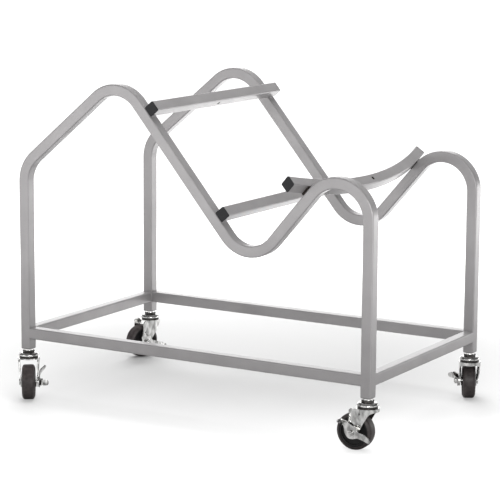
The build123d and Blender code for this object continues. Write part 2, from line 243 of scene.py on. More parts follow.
def drill(bm, centre, way, flat, width):
    """Sinks a round hole into the face that looks along way: a square is cut out, rounded and pushed in."""
    rounding = 0.29 * width
    for direction in (flat, way.cross(flat)):
        for sign in (1, -1):
            near = [f for f in bm.faces if f.normal.dot(way) > 0.99]
            geom = near + list({e for f in near for e in f.edges}) + list({v for f in near for v in f.verts})
            bmesh.ops.bisect_plane(
                bm, geom=geom, plane_co=centre + direction * sign * width / 2, plane_no=direction, dist=1e-6
            )
    spot = min(bm.faces, key=lambda f: (f.calc_center_median() - centre).length)
    bmesh.ops.bevel(
        bm, geom=spot.verts[:], offset=rounding, offset_type="OFFSET", affect="VERTICES",
        segments=4, profile=0.5, material=-1, clamp_overlap=True,
    )
    spot = min(bm.faces, key=lambda f: (f.calc_center_median() - centre).length)
    made = bmesh.ops.extrude_discrete_faces(bm, faces=[spot])["faces"]
    bmesh.ops.translate(bm, verts=made[0].verts[:], vec=-way * drain_depth)


for name, down in bar_places.items():
    middle = peak + fall_along * down + fall_up * tube
    stand = axes(middle - cross_way * bar_half, fall_up, fall_along, cross_way)
    bm = bmesh.new()
    straight_tube(bm, stand, 2 * bar_half)
    bmesh.ops.recalc_face_normals(bm, faces=bm.faces[:])
    bm.normal_update()
    if name == "upper_bar":
        drill(bm, middle + fall_along * tube / 2, fall_along, cross_way, drain_hole)
    set_piece(bm, name + "_tube", "frame", silver_paint, [name])

# Curved cross bar
# The third bar is bowed to a long radius and lies across the rising legs, on the tubes' inner corners.
# Its ends curve up and reach about 40 mm past the frames. Its drain hole is in the face up the slope.
rise_slope = math.radians(49.5)
rise_along = Vector((math.cos(rise_slope), 0, math.sin(rise_slope)))
rise_up = Vector((-math.sin(rise_slope), 0, math.cos(rise_slope)))
bow_radius = 1.05
bow_lift = 1.047166
bow_rise = 0.227825
bow_half = 0.301
bow_steps = 25
bow_centre = valley + rise_along * bow_rise + rise_up * bow_lift
bow_turn = math.asin(bow_half / bow_radius)
bow_reach = cross_way * bow_radius * math.sin(bow_turn)
bow_drop = rise_up * bow_radius * math.cos(bow_turn)
bow_start = bow_centre - bow_reach - bow_drop
bow_end = bow_centre + bow_reach - bow_drop
bow_inward = cross_way * math.cos(bow_turn) - rise_up * math.sin(bow_turn)
bow_outward = cross_way * math.cos(bow_turn) + rise_up * math.sin(bow_turn)
bow_hole = bow_centre - rise_up * bow_radius + rise_along * tube / 2
bm = bmesh.new()
ring = start_tube(bm, axes(bow_start, rise_along, bow_inward.cross(rise_along), bow_inward))
ring = bend_tube(bm, ring, bow_centre, rise_along, 2 * bow_turn, bow_steps)
bmesh.ops.contextual_create(bm, geom=ring)
bmesh.ops.recalc_face_normals(bm, faces=bm.faces[:])
bm.normal_update()
drill(bm, bow_hole, rise_along, cross_way, drain_hole)
set_piece(bm, "curved_bar_tube", "frame", silver_paint, ["curved_bar"])

# Welds of the bars
# Short beads run along each side of a straight bar where it crosses a side frame, under the paint.
# The bowed bar rests on each tube's inner corner and is welded along it. The bead and a wedge that fills the
# gap beside it are near black, as painted shade in the gap.
bar_weld_half = 0.0085
bar_bead = 0.0013
wedge_half = 0.0115
wedge_short = 0.0025
corner_weld_half = 0.012
corner_bead = 0.0016
# How far the wedge's tip, foot and head sink into the tubes.
tip_inset = 0.0005
tip_sink = 0.0007
foot_sink = 0.0003
head_sink = 0.0004

# Near black with a faint brown, in small specks: painted shade for the wedge gaps and inside the drain holes.
painted_shade_black = bpy.data.materials.new("painted_shade_filler")
painted_shade_black.use_nodes = True
nodes = painted_shade_black.node_tree.nodes
links = painted_shade_black.node_tree.links
shade_fill = nodes["Principled BSDF"]
shade_fill.inputs["Metallic"].default_value = 0.1
shade_fill.inputs["Specular IOR Level"].default_value = 0.2
place = nodes.new("ShaderNodeTexCoord")
shade_speck = nodes.new("ShaderNodeTexNoise")
shade_speck.inputs["Scale"].default_value = 240.0
shade_speck.inputs["Detail"].default_value = 4.0
shade = nodes.new("ShaderNodeValToRGB")
shade.color_ramp.elements[0].position = 0.35
shade.color_ramp.elements[0].color = (0.004, 0.003, 0.003, 1)
shade.color_ramp.elements[1].position = 0.75
shade.color_ramp.elements[1].color = (0.03, 0.021, 0.016, 1)
gloss = nodes.new("ShaderNodeMapRange")
gloss.inputs["To Min"].default_value = 0.5
gloss.inputs["To Max"].default_value = 0.8
links.new(place.outputs["Object"], shade_speck.inputs["Vector"])
links.new(shade_speck.outputs["Fac"], shade.inputs["Fac"])
links.new(shade.outputs["Color"], shade_fill.inputs["Base Color"])
links.new(shade_speck.outputs["Fac"], gloss.inputs["Value"])
links.new(gloss.outputs["Result"], shade_fill.inputs["Roughness"])


def weld_line(bm, start, end, size):
    """A rippled bead from start to end."""
    run = end - start
    stand = run.to_track_quat("Z", "Y").to_matrix().to_4x4()
    pitch = 0.0012
    tip = 0.35
    low = 0.82
    count = max(6, round(run.length / pitch))
    rings = []
    for i in range(count + 1):
        at_end = i in (0, count)
        radius = size * (tip if at_end else 1.0 if i % 2 else low)
        seat = Matrix.Translation(start + run * i / count) @ stand
        made = bmesh.ops.create_circle(bm, cap_ends=at_end, segments=8, radius=radius, matrix=seat)
        rings.append(list({e for v in made["verts"] for e in v.link_edges}))
    for one, other in zip(rings, rings[1:]):
        bmesh.ops.bridge_loops(bm, edges=one + other)


half_run = cross_way * bar_weld_half
bm = bmesh.new()
for down in bar_places.values():
    seat = peak + fall_along * down + fall_up * tube / 2
    for y in (-side_y, side_y):
        for edge in (-1, 1):
            corner = seat + cross_way * y + fall_along * edge * (tube / 2 - bead_inset)
            weld_line(bm, corner - half_run, corner + half_run, bar_bead)
set_piece(bm, "bar_welds", "frame", silver_paint)
bm = bmesh.new()
inner = side_y - tube / 2
outer = side_y + tube / 2 - wedge_short
under_bar = bow_lift - math.sqrt((bow_radius + tube / 2) ** 2 - outer**2)
wedge = [
    (inner + tip_inset, tube / 2 - tip_sink), (outer, tube / 2 - foot_sink), (outer, under_bar + head_sink),
]
seat = bow_centre - rise_up * bow_lift
half_run = rise_along * corner_weld_half
for sign in (-1, 1):
    near_end = [seat + cross_way * sign * y + rise_up * up - rise_along * wedge_half for y, up in wedge]
    face = bm.faces.new([bm.verts.new(spot) for spot in near_end])
    made = bmesh.ops.extrude_face_region(bm, geom=[face])["geom"]
    far_end = [g for g in made if isinstance(g, bmesh.types.BMVert)]
    bmesh.ops.translate(bm, verts=far_end, vec=rise_along * 2 * wedge_half)
    bearing = seat + cross_way * sign * (inner - bead_inset) + rise_up * (tube / 2 - bead_inset)
    weld_line(bm, bearing - half_run, bearing + half_run, corner_bead)
# The wedges and the beads take the near-black painted shade.
set_piece(bm, "curved_bar_welds", "frame", painted_shade_black)

# Drain holes
# Drilled before painting, one in the middle of the upper bar and one in the middle of the curved bar.
# Each bore is lined with near-black steel: painted shade inside the hole.
bore_depth = 0.007
bore_radius = 0.51 * drain_hole
bore_inner = bore_radius - 0.0004
bore_rim = -0.0001
bore_floor = 0.0006 - bore_depth
bore_line = [
    (0, -bore_depth), (bore_radius, -bore_depth), (bore_radius, bore_rim), (bore_inner, bore_rim),
    (bore_inner, bore_floor), (0, bore_floor),
]
upper_hole = peak + fall_along * (upper_drop + tube / 2) + fall_up * tube


def turned(bm, profile, stand, steps):
    """Spins a chain of (radius, height) points round the stand's Z."""
    before = set(bm.verts)
    chain = [bm.verts.new((r, 0, h)) for r, h in profile]
    edges = [bm.edges.new(pair) for pair in zip(chain, chain[1:])]
    bmesh.ops.spin(
        bm, geom=chain + edges, cent=(0, 0, 0), axis=(0, 0, 1), angle=2 * math.pi, steps=steps, use_merge=True
    )
    fresh = [v for v in bm.verts if v not in before]
    bmesh.ops.transform(bm, verts=fresh, matrix=stand)


bm = bmesh.new()
turned(bm, bore_line, axes(upper_hole, cross_way, fall_up, fall_along), 24)
turned(bm, bore_line, axes(bow_hole, cross_way, rise_up, rise_along), 24)
# The bore linings are near black: painted shade inside the holes.
set_piece(bm, "drain_bores", "frame", painted_shade_black)

# End caps of the bars
# Square plugs of black plastic, moulded with a fine grain.
# They are pressed into the open ends of the bars, and only their flanges show.
cap_flange = 0.003
cap_edge = 0.0011

# Black plastic with a pitted grain.
cap_plastic = bpy.data.materials.new("grained_black_plastic")
cap_plastic.use_nodes = True
nodes = cap_plastic.node_tree.nodes
links = cap_plastic.node_tree.links
skin = nodes["Principled BSDF"]
skin.inputs["Specular IOR Level"].default_value = 0.25
place = nodes.new("ShaderNodeTexCoord")
grain = nodes.new("ShaderNodeTexNoise")
grain.inputs["Scale"].default_value = 1600.0
grain.inputs["Detail"].default_value = 3.0
shade = nodes.new("ShaderNodeValToRGB")
shade.color_ramp.elements[0].position = 0.35
shade.color_ramp.elements[0].color = (0.01, 0.01, 0.011, 1)
shade.color_ramp.elements[1].position = 0.75
shade.color_ramp.elements[1].color = (0.036, 0.036, 0.038, 1)
gloss = nodes.new("ShaderNodeMapRange")
gloss.inputs["To Min"].default_value = 0.5
gloss.inputs["To Max"].default_value = 0.7
pits = nodes.new("ShaderNodeBump")
pits.inputs["Strength"].default_value = 0.5
pits.inputs["Distance"].default_value = 0.0004
links.new(place.outputs["Object"], grain.inputs["Vector"])
links.new(grain.outputs["Fac"], shade.inputs["Fac"])
links.new(shade.outputs["Color"], skin.inputs["Base Color"])
links.new(grain.outputs["Fac"], gloss.inputs["Value"])
links.new(gloss.outputs["Result"], skin.inputs["Roughness"])
links.new(grain.outputs["Fac"], pits.inputs["Height"])
links.new(pits.outputs["Normal"], skin.inputs["Normal"])


def end_cap(bm, stand):
    """A flange with a softly rounded outer edge, standing on the stand's XY plane."""
    ring = start_tube(bm, stand)
    ring = run_tube(bm, ring, stand.to_3x3() @ Vector((0, 0, cap_flange)))
    bmesh.ops.contextual_create(bm, geom=ring)
    bmesh.ops.bevel(
        bm, geom=ring, offset=cap_edge, offset_type="OFFSET", affect="EDGES",
        segments=3, profile=0.5, material=-1, clamp_overlap=True,
    )


for name, down in bar_places.items():
    middle = peak + fall_along * down + fall_up * tube
    bm = bmesh.new()
    end_cap(bm, axes(middle - cross_way * bar_half, fall_along, fall_up, -cross_way))
    end_cap(bm, axes(middle + cross_way * bar_half, fall_up, fall_along, cross_way))
    set_piece(bm, name + "_caps_black", "frame", cap_plastic, [name + "_caps"])
bm = bmesh.new()
end_cap(bm, axes(bow_start, rise_along, rise_along.cross(bow_inward), -bow_inward))
end_cap(bm, axes(bow_end, rise_along, bow_outward.cross(rise_along), bow_outward))
set_piece(bm, "curved_bar_caps_black", "frame", cap_plastic, ["curved_bar_caps"])

# Leg plugs
# A threaded steel plug closes the foot of each leg and takes the stem of the caster.
# Its rim is rounded off, and it is painted with the frame.
foot_z = 0.1125
foot_round = 0.0032
legs = [(-leg_x, -side_y), (leg_x, -side_y), (-leg_x, side_y), (leg_x, side_y)]
bm = bmesh.new()
for x, y in legs:
    ring = start_tube(bm, Matrix.Translation((x, y, tube_end_z)))
    ring = run_tube(bm, ring, Vector((0, 0, foot_z - tube_end_z)))
    bmesh.ops.contextual_create(bm, geom=ring)
    bmesh.ops.bevel(
        bm, geom=ring, offset=foot_round, offset_type="OFFSET", affect="EDGES",
        segments=5, profile=0.5, material=-1, clamp_overlap=True,
    )
set_piece(bm, "leg_ends", "frame", silver_paint, ["leg_plugs"])

# Caster stems
# Turned from hexagon bar: a thread in the plug, the hexagon to drive it, the kingpin and a riveted head.
# The plating is bright zinc. The hexagon and the race seat below it are dark steel: painted shade and painted
# dark reflections.
raceway_top = 0.1042
rivet_top = 0.0925
hex_flats = 0.024
hex_height = 0.005
hex_edge = 0.0009
hex_top = raceway_top + hex_height
neck_radius = 0.0098
neck_foot = hex_top - 0.0003
pin_radius = 0.006
pin_head = raceway_top + 0.0002
neck_line = [
    (0, neck_foot), (neck_radius + 0.0008, neck_foot), (neck_radius, hex_top + 0.0007), (neck_radius, foot_z),
    (0, foot_z),
]
rivet_line = [
    (0, rivet_top - 0.0035), (0.0115, rivet_top - 0.0035), (0.0127, rivet_top - 0.0027),
    (0.0125, rivet_top - 0.0005), (pin_radius, rivet_top), (pin_radius, pin_head), (0, pin_head),
]

# Bright zinc, hazy in patches. Soft waves in the metal bend what it mirrors.
bright_zinc = bpy.data.materials.new("bright_zinc")
bright_zinc.use_nodes = True
nodes = bright_zinc.node_tree.nodes
links = bright_zinc.node_tree.links
plate = nodes["Principled BSDF"]
plate.inputs["Metallic"].default_value = 1.0
place = nodes.new("ShaderNodeTexCoord")
haze = nodes.new("ShaderNodeTexNoise")
haze.inputs["Scale"].default_value = 120.0
haze.inputs["Detail"].default_value = 2.0
shade = nodes.new("ShaderNodeValToRGB")
shade.color_ramp.elements[0].position = 0.36
shade.color_ramp.elements[0].color = (0.4, 0.4, 0.393, 1)
shade.color_ramp.elements[1].position = 0.62
shade.color_ramp.elements[1].color = (0.98, 0.975, 0.96, 1)
gloss = nodes.new("ShaderNodeMapRange")
gloss.inputs["To Min"].default_value = 0.05
gloss.inputs["To Max"].default_value = 0.2
stretch = nodes.new("ShaderNodeMapping")
stretch.inputs["Scale"].default_value = (1, 1, 0.4)
waves = nodes.new("ShaderNodeTexNoise")
waves.inputs["Scale"].default_value = 60.0
waves.inputs["Detail"].default_value = 1.0
draw = nodes.new("ShaderNodeBump")
draw.inputs["Strength"].default_value = 1.0
draw.inputs["Distance"].default_value = 0.002
links.new(place.outputs["Object"], stretch.inputs["Vector"])
links.new(stretch.outputs["Vector"], haze.inputs["Vector"])
links.new(stretch.outputs["Vector"], waves.inputs["Vector"])
links.new(haze.outputs["Fac"], shade.inputs["Fac"])
links.new(shade.outputs["Color"], plate.inputs["Base Color"])
links.new(haze.outputs["Fac"], gloss.inputs["Value"])
links.new(gloss.outputs["Result"], plate.inputs["Roughness"])
links.new(waves.outputs["Fac"], draw.inputs["Height"])
links.new(draw.outputs["Normal"], plate.inputs["Normal"])

# Dark mottled steel: painted shade and painted dark reflections, for the hexagons and the race seats.
painted_shade_steel = bpy.data.materials.new("painted_shade_steel")
painted_shade_steel.use_nodes = True
nodes = painted_shade_steel.node_tree.nodes
links = painted_shade_steel.node_tree.links
race = nodes["Principled BSDF"]
race.inputs["Metallic"].default_value = 0.7
place = nodes.new("ShaderNodeTexCoord")
shade_mottle = nodes.new("ShaderNodeTexNoise")
shade_mottle.inputs["Scale"].default_value = 180.0
shade_mottle.inputs["Detail"].default_value = 4.0
shade = nodes.new("ShaderNodeValToRGB")
shade.color_ramp.elements[0].color = (0.02, 0.018, 0.017, 1)
shade.color_ramp.elements[1].color = (0.075, 0.07, 0.066, 1)
gloss = nodes.new("ShaderNodeMapRange")
gloss.inputs["To Min"].default_value = 0.3
gloss.inputs["To Max"].default_value = 0.5
links.new(place.outputs["Object"], shade_mottle.inputs["Vector"])
links.new(shade_mottle.outputs["Fac"], shade.inputs["Fac"])
links.new(shade.outputs["Color"], race.inputs["Base Color"])
links.new(shade_mottle.outputs["Fac"], gloss.inputs["Value"])
links.new(gloss.outputs["Result"], race.inputs["Roughness"])


def hexagon(bm, stand, flats, height, edge):
    """A hexagon of that height on the stand's XY plane, with its edges broken."""
    before = set(bm.verts)
    made = bmesh.ops.create_circle(bm, cap_ends=True, segments=6, radius=flats / math.sqrt(3))
    face = made["verts"][0].link_faces[0]
    made = bmesh.ops.extrude_face_region(bm, geom=[face])["geom"]
    top = [g for g in made if isinstance(g, bmesh.types.BMVert)]
    bmesh.ops.translate(bm, verts=top, vec=(0, 0, height))
    edges = [e for e in bm.edges if e.verts[0] not in before]
    bmesh.ops.bevel(
        bm, geom=edges, offset=edge, offset_type="OFFSET", affect="EDGES",
        segments=2, profile=0.5, material=-1, clamp_overlap=True,
    )
    fresh = [v for v in bm.verts if v not in before]
    bmesh.ops.transform(bm, verts=fresh, matrix=stand)


bm = bmesh.new()
for x, y in legs:
    hexagon(bm, Matrix.Translation((x, y, raceway_top)), hex_flats, hex_height, hex_edge)
# The hexagons are dark steel: painted shade and painted dark reflections.
set_piece(bm, "stem_hexagons", "frame", painted_shade_steel)
bm = bmesh.new()
for x, y in legs:
    stand = Matrix.Translation((x, y, 0))
    turned(bm, neck_line, stand, 40)
    turned(bm, rivet_line, stand, 32)
set_piece(bm, "stems", "frame", bright_zinc, ["caster_stems"])

# Raceway caps
# A pressed and plated steel cover closes the ball race above each fork, held under the stem's hexagon.
# It is round shouldered, and a narrow groove parts it from the crown below.
race_bore = 0.0062
raceway_bottom = 0.096
raceway_radius = 0.023
cap_line = [
    (race_bore, raceway_top), (0.0165, raceway_top), (0.0185, raceway_top - 0.0003),
    (0.0204, raceway_top - 0.0012), (0.0222, raceway_top - 0.0028),
    (raceway_radius - 0.0001, raceway_top - 0.0042), (raceway_radius, raceway_top - 0.005),
    (raceway_radius, raceway_bottom + 0.0016), (raceway_radius - 0.0004, raceway_bottom + 0.0011),
    (raceway_radius - 0.0022, raceway_bottom + 0.001), (raceway_radius - 0.0026, raceway_bottom),
    (race_bore, raceway_bottom), (race_bore, raceway_top),
]
bm = bmesh.new()
for x, y in legs:
    turned(bm, cap_line, Matrix.Translation((x, y, 0)), 64)
set_piece(bm, "raceway_covers", "frame", bright_zinc, ["raceway_caps"])

# Forks
# Each is pressed from one sheet: a round crown and two legs that sweep back and draw in towards the axle.
# The edges are left as pressed and the bends are rounded. The race seat on the crown is dark steel: painted
# shade seen in the groove under the cap.
wheel_radius = 0.04
trail = 0.026
crown_top = 0.0925
crown_radius = 0.0255
crown_round = 0.0016
fork_sheet = 0.0025
fork_edge = 0.0006
leg_share = 0.3
leg_boss = 0.012
leg_half = 0.0185
taper = 0.004 / (crown_top - wheel_radius)
rear_top = 0.033
rear_corner = 0.004
leg_top_half = leg_half + taper * (crown_top - wheel_radius)
crease_angle = math.asin(leg_top_half / crown_radius)
crease_u = crown_radius * math.cos(crease_angle)
knee_u = -0.009
knee_z = 0.076
lip_u = -0.022754
lip_z = 0.070408
lip_radius = 0.014848
race_seat_radius = 0.0215
race_seat_top = 0.0957
race_seat_foot = crown_top - 0.0004
race_seat_edge = 0.0005
seat_line = [
    (race_bore, race_seat_foot), (race_seat_radius, race_seat_foot),
    (race_seat_radius, race_seat_top - race_seat_edge), (race_seat_radius - race_seat_edge, race_seat_top),
    (race_bore, race_seat_top), (race_bore, race_seat_foot),
]
# The corner's side in X and in Y, the turn of the fork in degrees, and whether the brake is set.
casters = {
    "front_left": (-1, -1, 305.0, False),
    "front_right": (1, -1, 183.0, True),
    "back_left": (-1, 1, 248.0, True),
    "back_right": (1, 1, 117.0, False),
}
stands = {
    corner: Matrix.Translation((x * leg_x, y * side_y, 0)) @ Matrix.Rotation(math.radians(turn), 4, "Z")
    for corner, (x, y, turn, _) in casters.items()
}


def leg_bottom(u):
    """Height of the lower edge at u: the boss round the axle, the straight leg, the round to the lip."""
    boss_front = trail - leg_boss
    if u > boss_front:
        return wheel_radius - math.sqrt(max(0, leg_boss**2 - (u - trail) ** 2))
    if u > knee_u:
        return wheel_radius + (knee_z - wheel_radius) * (boss_front - u) / (boss_front - knee_u)
    return lip_z + math.sqrt(lip_radius**2 - (u - lip_u) ** 2)


def fork_point(s, t):
    """A point of the sheet: s runs from one rear edge round the front to the other, and t downwards."""
    from_edge = min(s, 1 - s)
    if from_edge >= leg_share:
        angle = math.pi + (s - 0.5) / (0.5 - leg_share) * (math.pi - crease_angle)
        low = leg_bottom(crown_radius * math.cos(angle))
        z = crown_top - t * (crown_top - low)
        radius = crown_radius - taper * (crown_top - z)
        return radius * math.cos(angle), radius * math.sin(angle), z
    back = (leg_share - from_edge) / leg_share
    low_u = crease_u + back * (trail + leg_boss - crease_u)
    top_u = crease_u + back * (rear_top - crease_u)
    edge_z = crown_top - max(0, top_u - rear_top + rear_corner)
    z = edge_z - t * (edge_z - leg_bottom(low_u))
    sunk = crown_top - z
    u = top_u + (low_u - top_u) * min(1, sunk / (crown_top - wheel_radius))
    half = leg_top_half - taper * sunk
    return u, half if s < 0.5 else -half, z


def sheet_metal(piece, thickness, offset, edge):
    """Gives a pressed sheet its thickness and soft edges, before its normals are evened."""
    wall = piece.modifiers.new("sheet", "SOLIDIFY")
    wall.thickness = thickness
    wall.offset = offset
    soft = piece.modifiers.new("soft_edges", "BEVEL")
    soft.width = edge
    soft.segments = 2
    soft.limit_method = "ANGLE"
    soft.angle_limit = math.radians(50)
    piece.modifiers.move(0, 2)


bm = bmesh.new()
bmesh.ops.create_grid(bm, x_segments=60, y_segments=18, size=0.5)
top_row = [v for v in bm.verts if v.co.y < -0.4999 and abs(v.co.x) < 0.5001 - leg_share]
rim = sorted(top_row, key=lambda v: v.co.x)
for v in bm.verts:
    v.co = fork_point(v.co.x + 0.5, v.co.y + 0.5)
for i in range(1, 16):
    angle = crease_angle * (i / 8 - 1)
    rim.append(bm.verts.new((crown_radius * math.cos(angle), crown_radius * math.sin(angle), crown_top)))
crown = bm.faces.new(rim)
bmesh.ops.recalc_face_normals(bm, faces=bm.faces[:])
round_edges = [e for e in crown.edges if len(e.link_faces) == 2]
bmesh.ops.bevel(
    bm, geom=round_edges, offset=crown_round, offset_type="OFFSET", affect="EDGES",
    segments=4, profile=0.5, material=-1, clamp_overlap=True,
)
fork_mesh = bm
for corner, stand in stands.items():
    bm = fork_mesh.copy()
    bmesh.ops.transform(bm, verts=bm.verts[:], matrix=stand)
    piece = set_piece(
        bm, corner + "_pressed_fork", corner + "_caster", bright_zinc, [corner + "_fork"], 20
    )
    sheet_metal(piece, fork_sheet, -1, fork_edge)
    bm = bmesh.new()
    turned(bm, seat_line, stand, 56)
    # The race seat is dark steel: painted shade seen in the groove under the cap.
    set_piece(bm, corner + "_race_seat", corner + "_caster", painted_shade_steel)
fork_mesh.free()

# Axle bolts and nuts
# Plated steel. The bolt goes through both legs of the fork and has a low head on the plain side.
# The nut bears on the brake lever, and the thread stands a little proud of it.
lever_in = 0.0237
lever_sheet = 0.002
nut_in = lever_in + lever_sheet + 0.0001
nut_height = 0.0065
nut_edge = 0.0008
bolt_seat = 0.01917
bolt_head = 0.0025
head_edge = 0.0006
bolt_radius = 0.004
bolt_end = nut_in + nut_height + 0.0015
bolt_line = [
    (0, -bolt_seat), (bolt_radius, -bolt_seat), (bolt_radius, bolt_end - 0.0007), (0.0033, bolt_end),
    (0, bolt_end),
]
axle_flats = 0.013
axle = Matrix.Translation((trail, 0, wheel_radius))
brake_side = axle @ Matrix.Rotation(-math.pi / 2, 4, "X")
plain_side = axle @ Matrix.Rotation(math.pi / 2, 4, "X")
for corner, stand in stands.items():
    bm = bmesh.new()
    hexagon(bm, stand @ plain_side @ Matrix.Translation((0, 0, bolt_seat)), axle_flats, bolt_head, head_edge)
    turned(bm, bolt_line, stand @ brake_side, 28)
    set_piece(bm, corner + "_bolt", corner + "_caster", bright_zinc, [corner + "_axle_bolt"])
    bm = bmesh.new()
    hexagon(bm, stand @ brake_side @ Matrix.Translation((0, 0, nut_in)), axle_flats, nut_height, nut_edge)
    set_piece(bm, corner + "_nut", corner + "_caster", bright_zinc, [corner + "_axle_nut"])

# Wheel cores
# Moulded in black plastic: a rim, a recessed web and a hub that turns on the bolt.
# Half of the section is drawn, from the bore to the rim, and mirrored for the other side.
core_plastic = bpy.data.materials.new("black_core_plastic")
core_plastic.use_nodes = True
nodes = core_plastic.node_tree.nodes
links = core_plastic.node_tree.links
skin = nodes["Principled BSDF"]
skin.inputs["Specular IOR Level"].default_value = 0.3
place = nodes.new("ShaderNodeTexCoord")
mould = nodes.new("ShaderNodeTexNoise")
mould.inputs["Scale"].default_value = 260.0
mould.inputs["Detail"].default_value = 3.0
shade = nodes.new("ShaderNodeValToRGB")
shade.color_ramp.elements[0].color = (0.008, 0.008, 0.008, 1)
shade.color_ramp.elements[1].color = (0.022, 0.021, 0.021, 1)
gloss = nodes.new("ShaderNodeMapRange")
gloss.inputs["To Min"].default_value = 0.42
gloss.inputs["To Max"].default_value = 0.62
links.new(place.outputs["Object"], mould.inputs["Vector"])
links.new(mould.outputs["Fac"], shade.inputs["Fac"])
links.new(shade.outputs["Color"], skin.inputs["Base Color"])
links.new(mould.outputs["Fac"], gloss.inputs["Value"])
links.new(gloss.outputs["Result"], skin.inputs["Roughness"])

core_half_line = [
    (0.0041, 0.0148), (0.0094, 0.0148), (0.0099, 0.0143), (0.0104, 0.0075), (0.0115, 0.0066),
    (0.0272, 0.0066), (0.0284, 0.0074), (0.0288, 0.0127), (0.0296, 0.0134), (0.0324, 0.0134),
    (0.033, 0.0129),
]
core_line = core_half_line + [(r, -h) for r, h in reversed(core_half_line)] + [core_half_line[0]]
for corner, stand in stands.items():
    bm = bmesh.new()
    turned(bm, core_line, stand @ brake_side, 72)
    set_piece(bm, corner + "_core", corner + "_wheel", core_plastic, [corner + "_wheel_core"])

# Tyres
# A band of dark grey rubber, moulded on the rim of the core and a little scuffed.
# It has a flat tread, round shoulders and a moulded line on each side.
tyre_rubber = bpy.data.materials.new("dark_tyre_rubber")
tyre_rubber.use_nodes = True
nodes = tyre_rubber.node_tree.nodes
links = tyre_rubber.node_tree.links
skin = nodes["Principled BSDF"]
skin.inputs["Specular IOR Level"].default_value = 0.35
place = nodes.new("ShaderNodeTexCoord")
scuff = nodes.new("ShaderNodeTexNoise")
scuff.inputs["Scale"].default_value = 130.0
scuff.inputs["Detail"].default_value = 6.0
shade = nodes.new("ShaderNodeValToRGB")
shade.color_ramp.elements[0].position = 0.3
shade.color_ramp.elements[0].color = (0.027, 0.022, 0.022, 1)
shade.color_ramp.elements[1].position = 0.75
shade.color_ramp.elements[1].color = (0.062, 0.052, 0.051, 1)
gloss = nodes.new("ShaderNodeMapRange")
gloss.inputs["To Min"].default_value = 0.32
gloss.inputs["To Max"].default_value = 0.55
rough = nodes.new("ShaderNodeBump")
rough.inputs["Strength"].default_value = 0.2
rough.inputs["Distance"].default_value = 0.0004
links.new(place.outputs["Object"], scuff.inputs["Vector"])
links.new(scuff.outputs["Fac"], shade.inputs["Fac"])
links.new(shade.outputs["Color"], skin.inputs["Base Color"])
links.new(scuff.outputs["Fac"], gloss.inputs["Value"])
links.new(gloss.outputs["Result"], skin.inputs["Roughness"])
links.new(scuff.outputs["Fac"], rough.inputs["Height"])
links.new(rough.outputs["Normal"], skin.inputs["Normal"])

tyre_half_line = [
    (0.033, 0.0148), (0.0339, 0.0146), (0.0343, 0.0142), (0.0347, 0.0141), (0.0362, 0.0134),
    (0.0375, 0.0126), (0.0387, 0.0115), (0.0395, 0.0101), (0.0399, 0.0082), (0.04, 0.005),
]
tyre_line = tyre_half_line + [(r, -h) for r, h in reversed(tyre_half_line)] + [tyre_half_line[0]]
for corner, stand in stands.items():
    bm = bmesh.new()
    turned(bm, tyre_line, stand @ brake_side, 96)
    set_piece(bm, corner + "_rubber", corner + "_wheel", tyre_rubber, [corner + "_tyre"])

# Brake levers
# A stamped rocker on the axle: a broad middle, two narrowing arms and their ends bent out as foot tabs.
# Pressing the rear tab sets the brake, and the front one frees it.
lever_hub = 0.015
tab_half = 0.0065
lever_throw = math.radians(46)
# The rear arm, -1, and the front arm, 1: direction, length, bend of the tab, and where narrowing ends.
arms = {
    -1: (math.radians(55), 0.024, math.radians(60), 0.95),
    1: (math.radians(193), 0.03, math.radians(34), 0.6),
}
tip_half = {-1: 0.0065, 1: 0.0036}
tip_ease = 1.6
tip_blunt = 0.02
tab_length = 0.024
tab_curl = 0.01
pivot_blend = 0.012
lever_edge = 0.0005
lever_out = lever_in + lever_sheet
boss_line = [
    (0.0042, 0.0199), (0.0118, 0.0199), (0.0122, 0.0203), (0.0122, lever_in), (0.0042, lever_in),
    (0.0042, 0.0199),
]
washer_line = [
    (0.0068, lever_out - 0.0002), (0.0095, lever_out - 0.0002), (0.0093, lever_out + 0.0004),
    (0.0088, lever_out + 0.0006), (0.007, lever_out + 0.0006), (0.0068, lever_out - 0.0002),
]


def lever_point(s, t):
    """A point in the middle of the sheet: s from the rear tip, -1, to the front tip, 1, and t across it."""
    side = -1 if s < 0 else 1
    angle, arm, bend, hold = arms[side]
    reach = abs(s) * (arm + tab_length)
    past = min(max(reach - arm + tab_curl / 2, 0), tab_curl)
    rest = max(reach - arm - tab_curl / 2, 0)
    swung = bend * past / tab_curl
    flat = reach - past - rest
    along = flat + tab_curl / bend * math.sin(swung) + rest * math.cos(bend)
    out = tab_curl / bend * (1 - math.cos(swung)) + rest * math.sin(bend)
    way = Vector((math.cos(angle), math.sin(angle)))
    if along < pivot_blend:
        other = arms[-side][0]
        far = Vector((math.cos(other), math.sin(other)))
        k = 0.5 + along / pivot_blend / 2
        centre = way * pivot_blend * k**2 + far * pivot_blend * (1 - k) ** 2
        heading = (way * k - far * (1 - k)).normalized()
    else:
        centre = way * along
        heading = way
    fall = min(reach / (arm * hold), 1)
    half = tab_half + (lever_hub - tab_half) * (1 - fall * fall * (3 - 2 * fall))
    left = arm + tab_length - reach
    tip = tip_half[side]
    half -= (tab_half - tip) * max(0, 1 - left / tab_length) ** tip_ease
    if left < tip:
        half *= math.sqrt(max(tip_blunt, 1 - (1 - left / tip) ** 2))
    normal = Vector((-heading.y, heading.x)) * side
    spot = centre + normal * half * t
    return trail + spot.x, lever_in + lever_sheet / 2 + out, wheel_radius + spot.y


